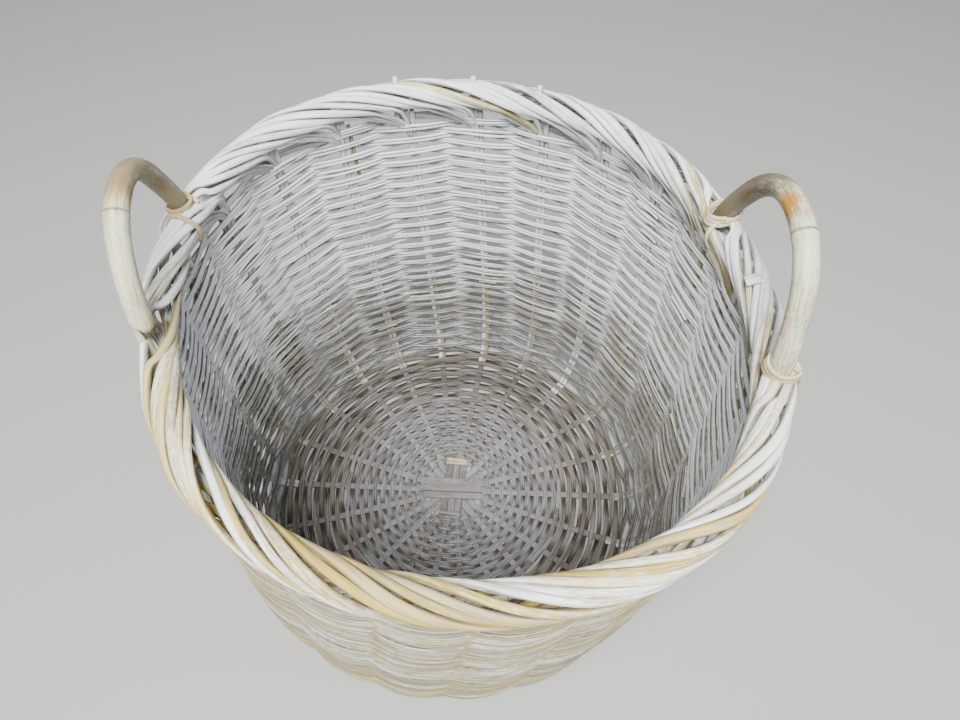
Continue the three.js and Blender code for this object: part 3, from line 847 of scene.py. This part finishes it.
def strand_path(rng, index, number):
    """The line of a border cane, up from its stake, over the roll, down its outer side and into the core."""
    start = stake_angle(index, STAKE_TOP) + STRAND_DELAY
    start += STAKE_PITCH * (number / STRANDS_PER_STAKE) + math.radians(rng.normal() * 0.7)
    sweep = STRAND_SWEEP * rng.uniform(0.95, 1.08)
    part = np.linspace(0, 1, STRAND_SAMPLES)
    angle = start + sweep * part
    uneven = 0.02 * np.sin(part * math.pi * 2 + rng.uniform(0, 6))
    turn = ROLL_START + (ROLL_END - ROLL_START) * (part + uneven)
    lift = (1 - number) * STRAND_STEP
    bow = 1.9 * np.sin(np.clip(part * 1.1, 0, 1) * math.pi) - 0.9
    distance = BORDER_RADIUS + lift + bow + line_wander(len(part), rng, STRAND_WANDER)
    roll = border_point(angle, turn, distance)
    under = np.linspace(0, 1, TAIL_SAMPLES)[1:]
    tail_distance = distance[-1] + (rng.uniform(*CORE_RADII) - distance[-1]) * smoothstep(0, 0.8, under)
    tail = border_point(angle[-1] + TAIL_SWEEP * under, turn[-1] + TAIL_TURN * under, tail_distance)
    foot = wall_point(stake_angle(index, STAKE_TOP - 26), STAKE_TOP - 26.0, -1.0)
    beside = math.radians(0.5 + 1.5 * number)
    rise = wall_point(stake_angle(index, STAKE_TOP) + beside, STAKE_TOP - 2.0, -3.0)
    lead = spline([foot, rise, roll[0], roll[2]], 22)[:-2]
    path = np.vstack([lead, roll[2:], tail])
    path = np.stack([smoothed(path[:, axis], np.ones(7)) for axis in range(3)], -1)
    return around_poles(path, STRAND_HALF_WIDTH * 0.45)


def add_strand(canes, index, number):
    """One cane of the border, round where it leaves its stake, and flatter and wider over the roll."""
    path = strand_path(canes.rng, index, number)
    centre = wall_point(rim_azimuth(path), float(BORDER_HEIGHT), float(BORDER_OUTSET))
    out = unit(path - centre)
    along = unit(np.gradient(path, axis=0))
    across = unit(np.cross(along, out))
    part = np.linspace(0, 1, len(path))
    flat = smoothstep(0, 0.16, part)
    taper = 1 - 0.25 * smoothstep(0.8, 1.0, part)
    width = STRAND_HALF_WIDTH * canes.rng.uniform(*STRAND_SIZES)
    half_width = (STAKE_CANE_RADIUS + (width - STAKE_CANE_RADIUS) * flat) * taper
    half_thickness = (STAKE_CANE_RADIUS + (STRAND_HALF_THICKNESS - STAKE_CANE_RADIUS) * flat) * taper
    canes.add(path, across, half_width, half_thickness, border_finish, sides=16, square=0.82)


def add_insert(canes, index):
    """A short cane pushed in beside a stake."""
    rng = canes.rng
    z = np.linspace(rng.uniform(*INSERT_BOTTOMS), STAKE_TOP + 4, 24)
    angle = stake_angle(index, z) + math.radians(1.9 + 0.5 * rng.uniform()) * rng.choice([-1, 1])
    radius = rng.uniform(*INSERT_RADII)
    canes.add(wall_point(angle, z, 0.4), radial(angle + math.pi / 2), radius, radius, insert_finish)


def add_border_stub(canes, index):
    """A cut cane that stands up through the border at the back."""
    rng = canes.rng
    angle = stake_angle(index, STAKE_TOP) + math.radians(rng.uniform(1.5, 3.0))
    z = np.linspace(STAKE_TOP - 14, BORDER_HEIGHT + BORDER_RADIUS + rng.uniform(8, 11), 20)
    path = wall_point(angle, z, np.linspace(0, 5, 20))
    canes.add(path, radial(angle + math.pi / 2), 3.4, 2.6, border_finish, sides=10)


def build_stakes(material):
    """Each upright pair with its border strands, as one piece for each of the CAD's stakes."""
    for index in range(STAKE_COUNT):
        canes = Canes(STAKE_SEED + index, variety=0.26, crease=0.9)
        for side in (-1, 1):
            add_upright(canes, index, side)
        for number in range(STRANDS_PER_STAKE):
            add_strand(canes, index, number)
        if canes.rng.uniform() < INSERT_CHANCE:
            add_insert(canes, index)
        if index in STUB_STAKES:
            add_border_stub(canes, index)
        if index == WRAPPED_STAKE:
            azimuth = stake_angle(index, STAKE_TOP) + WRAP_SHIFT
            for turn in range(WRAP_TURNS):
                add_border_loop(canes, azimuth, shift=turn * WRAP_PITCH, **WRAP)
        name = f"{index + 1:02d}"
        canes.build(f"upright_and_border_{name}", material, f"stake_{name}")


def slat_level(layer):
    return SLAT_HALF_THICKNESS + layer * SLAT_LAYER


def spoke_levels():
    """The level at which each spoke leaves the cross."""
    levels = np.zeros(STAKE_COUNT)
    for layer, (_, spoke, slats, _) in enumerate(SLAT_GROUPS):
        for number in range(slats):
            side = number - (slats - 1) / 2
            for end in (spoke + side, spoke + STAKE_COUNT / 2 - side):
                levels[int(round(end)) % STAKE_COUNT] = slat_level(layer)
    return levels


def spoke_level(angle, radius):
    """Level of the spokes at any place: that of the cross's layers inside, and one level further out."""
    turns = (np.asarray(angle) - FIRST_SPOKE_ANGLE) / STAKE_PITCH
    levels = spoke_levels()
    inside = np.interp(turns % STAKE_COUNT, np.arange(STAKE_COUNT + 1), np.append(levels, levels[0]))
    return inside + (SPOKE_LEVEL - inside) * smoothstep(CROSS_HALF_LENGTH, SPOKE_START, radius)


def slat_path(layer, number):
    """A slat's line: straight through the cross, and out on each side along its own spoke."""
    _, spoke, slats, turn = SLAT_GROUPS[layer]
    side = number - (slats - 1) / 2
    inner = radial(spoke_angle(spoke) + turn)
    offset = TOP_SLAT_PLACES[number] if layer == TOP_LAYER else side * SLAT_PITCH
    middle = radial(spoke_angle(spoke) + turn + math.pi / 2) * offset
    near = radial(spoke_angle(spoke + side))
    far = radial(spoke_angle(spoke + STAKE_COUNT / 2 - side))
    ends = []
    for outer, way in ((near, 1), (far, -1)):
        inside = (CROSS_HALF_LENGTH * 0.6, CROSS_HALF_LENGTH)
        points = [middle + inner * reach * way + UP * slat_level(layer) for reach in inside]
        points += [outer * r + UP * SPOKE_LEVEL for r in (SPOKE_START + 2, 90.0, 150.0, SPOKE_END)]
        ends.append(points)
    return spline([*ends[1][::-1], middle + UP * slat_level(layer), *ends[0]], 150)


def build_slats(material):
    """The slats of the cross, one piece each."""
    for layer, (group, _, slats, _) in enumerate(SLAT_GROUPS):
        for number in range(slats):
            canes = Canes(SLAT_SEED + 10 * layer + number)
            path = slat_path(layer, number)
            across = unit(np.cross(unit(np.gradient(path, axis=0)), UP))
            radius = np.hypot(path[:, 0], path[:, 1])
            middle = TOP_SLAT_HALF_WIDTHS[number] if layer == TOP_LAYER else CROSS_SLAT_HALF_WIDTH
            half_width = middle + (SPOKE_HALF_WIDTH - middle) * smoothstep(CROSS_HALF_LENGTH - 6, 70, radius)
            half_width = half_width * (1 + 0.03 * line_wander(len(path), canes.rng, 1.0, 6))
            canes.add(path, across, half_width, SLAT_HALF_THICKNESS, slat_finish, sides=12, square=0.5)
            name = f"{group}_{number + 1}"
            canes.build(name.replace("cross_slat", "floor_slat"), material, name)


def add_round(canes, number, radius):
    """One round of the floor: a pair of canes or one wide one, over and under the spokes."""
    rng = canes.rng
    loose = radius >= ROUND_LOOSE_START
    kind = LOOSE_ROUND if loose else CLOSE_ROUND
    pitch = kind["pitch"]
    angle = whole_turn(STAKE_COUNT * ROUND_SAMPLES)
    phase = math.pi * (angle - FIRST_SPOKE_ANGLE) / STAKE_PITCH + math.pi * number
    swing = np.tanh(ROUND_SHARPNESS * np.cos(phase)) / math.tanh(ROUND_SHARPNESS)
    wide = loose and rng.uniform() < WIDE_CANE_CHANCE
    in_round = 1 if wide else 2
    half = pitch * (WIDE_CANE_HALF_WIDTH if wide else kind["half_width"])
    sway = ring_wander(angle, rng, kind["wander"], ROUND_WAVES)
    for cane in range(in_round):
        offset = (cane - (in_round - 1) / 2) * pitch * ROUND_PAIR_SPACING
        r = radius + offset + sway + ring_wander(angle, rng, kind["cane_wander"], ROUND_CANE_WAVES)
        half_width = half * rng.uniform(0.85, 1.08)
        thickness = ROUND_HALF_THICKNESS * rng.uniform(0.85, 1.1)
        z = spoke_level(angle, r) + swing * ROUND_SWING + 0.15 * rng.normal()
        path = np.stack([r * np.cos(angle), r * np.sin(angle), np.maximum(z, thickness + 0.3)], -1)
        canes.add(
            path, radial(angle), half_width, thickness, floor_finish, closed=True, sides=12, square=0.65
        )


def build_rounds(material):
    """The rounds of the floor, gathered by the CAD's base courses."""
    radii = list(np.arange(ROUND_START, ROUND_LOOSE_START, CLOSE_ROUND["pitch"]))
    radii += list(np.arange(ROUND_LOOSE_START, ROUND_END, LOOSE_ROUND["pitch"]))
    depth = (BASE_COURSE_END - BASE_COURSE_START) / BASE_COURSE_COUNT
    for course in range(BASE_COURSE_COUNT):
        canes = Canes(ROUND_SEED + course, variety=0.07, crease=1.4)
        low = BASE_COURSE_START + course * depth if course else -math.inf
        high = BASE_COURSE_START + (course + 1) * depth if course < BASE_COURSE_COUNT - 1 else math.inf
        for number, radius in enumerate(radii):
            if low <= radius < high:
                add_round(canes, number, radius)
        canes.build(f"floor_weave_{course + 1}", material, f"base_course_{course + 1}")


def build_binding(name, material):
    """Flat cane wound twice round the middle group of slats."""
    binding = BINDINGS[name]
    canes = Canes(binding["seed"])
    _, spoke, slats, turn = SLAT_GROUPS[MIDDLE_LAYER]
    direction = spoke_angle(spoke) + turn
    along, across = radial(direction), radial(direction + math.pi / 2)
    half_group = (slats - 1) / 2 * SLAT_PITCH + SLAT_HALF_WIDTH
    warmth = binding["warmth"]
    finish = even_finish(0.5 - 0.3 * warmth, 0.1 + 0.5 * warmth, 0.1 + 0.3 * warmth)
    angle = whole_turn(48)
    x = powered(np.cos(angle), 0.4) * (half_group + 1.0)
    z = powered(np.sin(angle), 0.7) * (SLAT_HALF_THICKNESS + 1.2)
    for way in (-1, 1):
        shift = binding["place"] + way * 2.7 + 0.9 * np.sin(angle + way)
        path = across * x[:, None] + along * shift[:, None] + UP * (slat_level(MIDDLE_LAYER) + z)[:, None]
        canes.add(path, along, 2.5, 0.7, finish, closed=True, sides=8, square=0.7)
    canes.build(f"floor_binding_{name}", material, f"slat_binding_{name}")


def add_frayed_end(canes, centre, outwards):
    """Split, frayed fibres where the inner side of a pole has broken off."""
    rng = canes.rng
    side = np.cross(UP, outwards)
    for _ in range(FRAYED_FIBRES):
        inward = rng.uniform(1.0, POLE_RADIUS * 1.05)
        across = rng.uniform(-1, 1) * math.sqrt(max(POLE_RADIUS**2 - inward**2, 9)) * 0.9
        start = centre - outwards * inward + side * across + UP * 6.0
        drop = UP * rng.uniform(7, 15)
        end = start - drop - outwards * rng.uniform(-1, 3) + side * rng.normal() * 1.2
        path = spline([start, (start + end) / 2 + side * rng.normal() * 0.5, end], 8)
        canes.add(path, side, rng.uniform(0.9, 1.9), rng.uniform(0.7, 1.1), frayed_finish, sides=6)


def build_handle(handle, material):
    """A bent pole with a joint ring, slightly uneven, and thinner at its tips."""
    h = HANDLES[handle]
    canes = Canes(h["seed"], variety=0.0, crease=0.0)
    part = np.linspace(0, 1, POLE_SAMPLES)
    centre = pole_line(handle, part)
    tips = pole_line(handle, np.array([0.0, 0.5, 1.0]))
    across = unit(np.cross(tips[2] - tips[0], tips[1] - tips[0]))
    ring = bump(part, h["ring"], 0.006) - 0.7 * bump(part, h["ring"] + 0.004, 0.003)
    tip = 0.84 + 0.16 * smoothstep(0, 0.035, np.minimum(part, 1 - part))
    radius = POLE_RADIUS * (1 + 0.012 * np.sin(part * 19) + 0.05 * ring) * tip
    if handle == SCARFED_END[0]:
        cut = 1 - smoothstep(SCARF_LEVEL - SCARF_BLEND, SCARF_LEVEL + SCARF_BLEND, centre[:, 2])
        cut = SCARF_DEPTH * np.where(part < 0.5, cut, 0)
        outwards = radial(rim_azimuth(centre[0]))
        centre = centre + outwards * (POLE_RADIUS * cut)[:, None]
        radius = radius * (1 - cut)
        front_leg = centre[: POLE_SAMPLES // 2]
        add_frayed_end(canes, front_leg[np.argmin(np.abs(front_leg[:, 2] - SCARF_LEVEL))], outwards)
    canes.add(centre, across, radius, radius, pole_finish(handle, part), sides=28)
    canes.build(f"pole_{handle}", material, f"handle_{handle}")


def add_tie(canes, centre, outwards, inner, outer, half_width, level, slope, turns):
    """Cane wound round a pole's foot, stretched outwards or inwards to take in border strands."""
    count = int(44 * turns)
    angle = np.linspace(0, turns * 2 * math.pi, count) + 2.4
    side = np.cross(UP, outwards)
    cos = np.cos(angle)
    along = np.where(cos > 0, outer, inner) * cos + 0.5 * np.sin(angle * 1.7)
    across = half_width * np.sin(angle) * (1 + 0.03 * np.sin(angle * 2.3))
    climb = 4.2 * (np.linspace(0, 1, count) - 0.5) * turns
    path = centre + outwards * along[:, None] + side * across[:, None]
    path[:, 2] = level + slope * along + climb + 0.8 * np.sin(angle * 0.8)
    canes.add(path, UP, 2.7, 1.5, lashing_finish, sides=8, square=0.75)


def add_border_loop(canes, azimuth, start, end, distance, shift):
    """Cane laid over the border, from one side of the roll to the other."""
    turn = np.linspace(math.radians(start), math.radians(end), 40)
    where = azimuth + (shift + 3.0 * np.sin(turn * 0.8)) / RIM_RADIUS
    loop = border_point(where, turn, distance + 0.5 * np.sin(3 * turn))
    canes.add(loop, radial(azimuth + math.pi / 2), 2.5, 1.0, lashing_finish, sides=8, square=0.75)


def build_lashing(handle, end, lashing, material):
    """Cane wound round a pole's foot just above the border, with loops over the border beside it."""
    canes = Canes(lashing["seed"])
    part = np.linspace(0, 0.5, 400)
    line = pole_line(handle, part if end == "front" else 1 - part)
    centre = line[np.argmax(line[:, 2] > BORDER_HEIGHT + BORDER_RADIUS + 5)]
    azimuth = float(rim_azimuth(centre))
    add_tie(canes, centre, radial(azimuth), **lashing["tie"])
    for loop in lashing["loops"]:
        add_border_loop(canes, azimuth, **loop)
    canes.build(f"lashing_wraps_{handle}_{end}", material, f"lashing_{handle}_{end}")


def build_stage():
    """A plain pale floor, just below the basket."""
    mesh = bpy.data.meshes.new("floor")
    corners = [(x * STAGE_HALF_SIZE, y * STAGE_HALF_SIZE, 0) for x, y in ((-1, -1), (1, -1), (1, 1), (-1, 1))]
    mesh.from_pydata(corners, [], [(0, 1, 2, 3)])
    material = bpy.data.materials.new("stage_floor")
    material.use_nodes = True
    shader = material.node_tree.nodes["Principled BSDF"]
    shader.inputs["Base Color"].default_value = STAGE_COLOUR
    shader.inputs["Roughness"].default_value = 0.9
    mesh.materials.append(material)
    floor = bpy.data.objects.new("floor", mesh)
    floor.location.z = -STAGE_DROP
    bpy.context.collection.objects.link(floor)


def build_lights():
    """Two soft round lamps and an even sky."""
    for name, lamp in LIGHTS.items():
        light = bpy.data.lights.new(name, "AREA")
        light.shape = "DISK"
        light.size = lamp["size"]
        light.energy = lamp["power"]
        light.color = lamp["tint"]
        place = Vector(lamp["place"])
        holder = bpy.data.objects.new(name, light)
        holder.location = place
        holder.rotation_euler = (Vector(lamp["aim"]) - place).to_track_quat("-Z", "Y").to_euler()
        bpy.context.collection.objects.link(holder)
    world = bpy.data.worlds.new("studio")
    world.use_nodes = True
    background = world.node_tree.nodes["Background"]
    background.inputs["Color"].default_value = SKY_COLOUR
    background.inputs["Strength"].default_value = SKY_STRENGTH
    bpy.context.scene.world = world


def build_camera():
    data = bpy.data.cameras.new("camera")
    data.lens = CAMERA_LENS
    data.sensor_width = CAMERA_SENSOR
    camera = bpy.data.objects.new("camera", data)
    camera.location = CAMERA_PLACE
    camera.rotation_euler = (CAMERA_TILT, 0, 0)
    bpy.context.collection.objects.link(camera)
    bpy.context.scene.camera = camera


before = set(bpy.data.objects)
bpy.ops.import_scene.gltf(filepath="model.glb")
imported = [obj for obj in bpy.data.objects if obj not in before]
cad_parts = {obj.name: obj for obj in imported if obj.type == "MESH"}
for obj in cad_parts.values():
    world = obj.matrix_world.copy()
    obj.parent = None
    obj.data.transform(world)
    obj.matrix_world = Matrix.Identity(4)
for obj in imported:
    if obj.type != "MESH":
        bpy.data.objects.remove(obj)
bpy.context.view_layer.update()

weave_cane = cane_material(
    "weave_cane",
    bare=(140, 138, 134), warm=(212, 194, 130), wash=(238, 242, 247), grime_and_shade=(46, 45, 44),
    spot=(204, 160, 84),
)
stake_cane = cane_material(
    "stake_cane",
    bare=(170, 162, 142), warm=(224, 198, 104), wash=(240, 245, 247), grime_and_shade=(50, 43, 35),
    spot=(222, 174, 60), fibre_depth=0.42, relief=0.8,
)
floor_cane = cane_material(
    "floor_cane",
    bare=(112, 109, 104), warm=(136, 112, 80), wash=(149, 150, 151), grime_and_shade=(16, 14, 13),
    spot=(136, 96, 52), fibre_depth=0.28,
)
pole_cane = cane_material(
    "handle_pole",
    bare=(148, 138, 114), warm=(212, 146, 34), wash=(214, 219, 192), grime_and_shade=(58, 51, 44),
    spot=(192, 124, 32), fibre_depth=0.25, roughness=(0.35, 0.65), relief=0.35,
)
binding_cane = cane_material(
    "binding_cane",
    bare=(190, 172, 136), warm=(226, 200, 140), wash=(234, 228, 206), grime_and_shade=(110, 84, 56),
    spot=(206, 150, 76), fibre_depth=0.25,
)

build_wall(weave_cane)
build_stakes(stake_cane)
build_slats(floor_cane)
build_rounds(floor_cane)
build_binding("back", binding_cane)
build_binding("front", floor_cane)
for handle in HANDLES:
    build_handle(handle, pole_cane)
for (handle, end), lashing in LASHINGS.items():
    build_lashing(handle, end, lashing, binding_cane)
build_stage()
build_lights()
build_camera()
